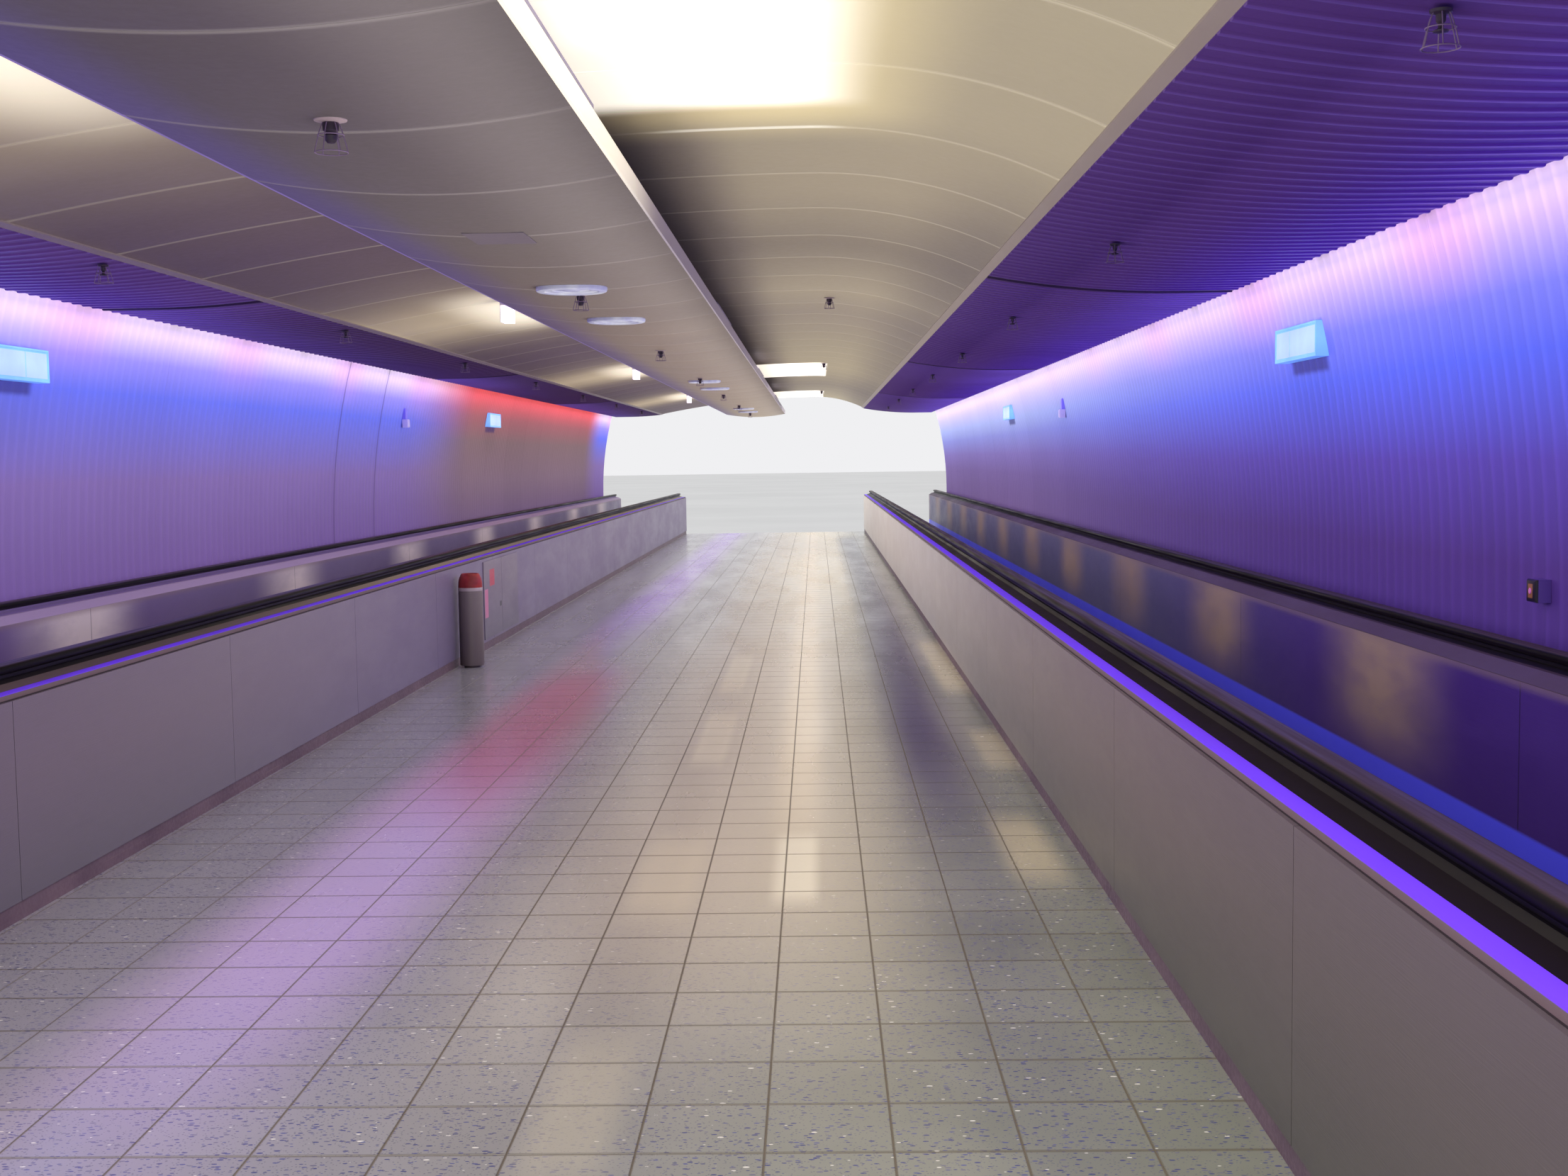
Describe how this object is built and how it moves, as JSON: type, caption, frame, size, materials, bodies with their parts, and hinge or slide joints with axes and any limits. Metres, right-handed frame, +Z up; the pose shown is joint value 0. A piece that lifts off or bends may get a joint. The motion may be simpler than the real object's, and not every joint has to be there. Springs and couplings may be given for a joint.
{
  "type": "airport connector tunnel section with moving walkways",
  "caption": "Enclosed passenger connector tunnel, open at both ends, with a moving walkway on each side of a tiled aisle under a curved ceiling.",
  "frame": {"origin": "under the middle of the base slab, where it rests on the ground", "axes": "+Y along the tunnel, in the direction of the picture's view; +X to the right; +Z up"},
  "size_m": [8.56, 36, 4.8],
  "materials": {
    "concrete": "cast, matt",
    "seal_rubber": "matt",
    "terrazzo": "polished",
    "frame_steel": "satin",
    "pallet_alloy": "cast, ribbed",
    "skirt_steel": "satin",
    "panel_steel": "glossy",
    "cladding_steel": "satin",
    "deck_steel": "satin",
    "guide_steel": "satin",
    "handrail_rubber": "semi-gloss",
    "skirting_paint": "satin",
    "lining_paint": "satin, vertical ribs",
    "soffit_paint": "satin, fine ribs",
    "trough_paint": "satin",
    "tube_glass": "lit",
    "vault_paint": "gloss",
    "trim_paint": "satin",
    "raft_paint": "satin",
    "lip_paint": "satin",
    "lamp_paint": "satin",
    "fitting_paint": "satin",
    "device_plastic": "matt",
    "sign_plastic": "lit",
    "alarm_plastic": "gloss",
    "bin_steel": "satin",
    "lamp_glass": "lit"
  },
  "bodies": {
    "root": {"base_slab": "concrete", "left_wall": "concrete", "right_wall": "concrete", "roof_slab": "concrete", "joint_seals": "seal_rubber", "floor_deck": "concrete", "terrazzo_floor": "terrazzo", "left_walkway_frame": "frame_steel", "left_balustrade_posts": "frame_steel", "left_pallet_band": "pallet_alloy", "left_skirt_panels": "skirt_steel", "left_balustrade_panels": "panel_steel", "left_cladding": "cladding_steel", "left_deck_covers": "deck_steel", "left_handrail_guides": "guide_steel", "left_handrails": "handrail_rubber", "right_walkway_frame": "frame_steel", "right_balustrade_posts": "frame_steel", "right_pallet_band": "pallet_alloy", "right_skirt_panels": "skirt_steel", "right_balustrade_panels": "panel_steel", "right_cladding": "cladding_steel", "right_deck_covers": "deck_steel", "right_handrail_guides": "guide_steel", "right_handrails": "handrail_rubber", "floor_skirtings": "skirting_paint", "left_lining_ribs": "frame_steel", "right_lining_ribs": "frame_steel", "left_wall_lining": "lining_paint", "right_wall_lining": "lining_paint", "left_soffit": "soffit_paint", "right_soffit": "soffit_paint", "light_troughs": "trough_paint", "light_tubes": "tube_glass", "vault_panels": "vault_paint", "vault_edge_trims": "trim_paint", "ceiling_frames": "frame_steel", "raft_panels": "raft_paint", "raft_lips": "lip_paint", "raft_hangers": "frame_steel", "uplights": "lamp_paint", "lamp_glasses": "lamp_glass", "raft_fittings": "fitting_paint", "ceiling_devices": "device_plastic", "wall_signs": "sign_plastic", "wall_devices": "alarm_plastic", "hose_cabinet_doors": "cladding_steel", "litter_bin": "bin_steel"}
  },
  "joints": []
}
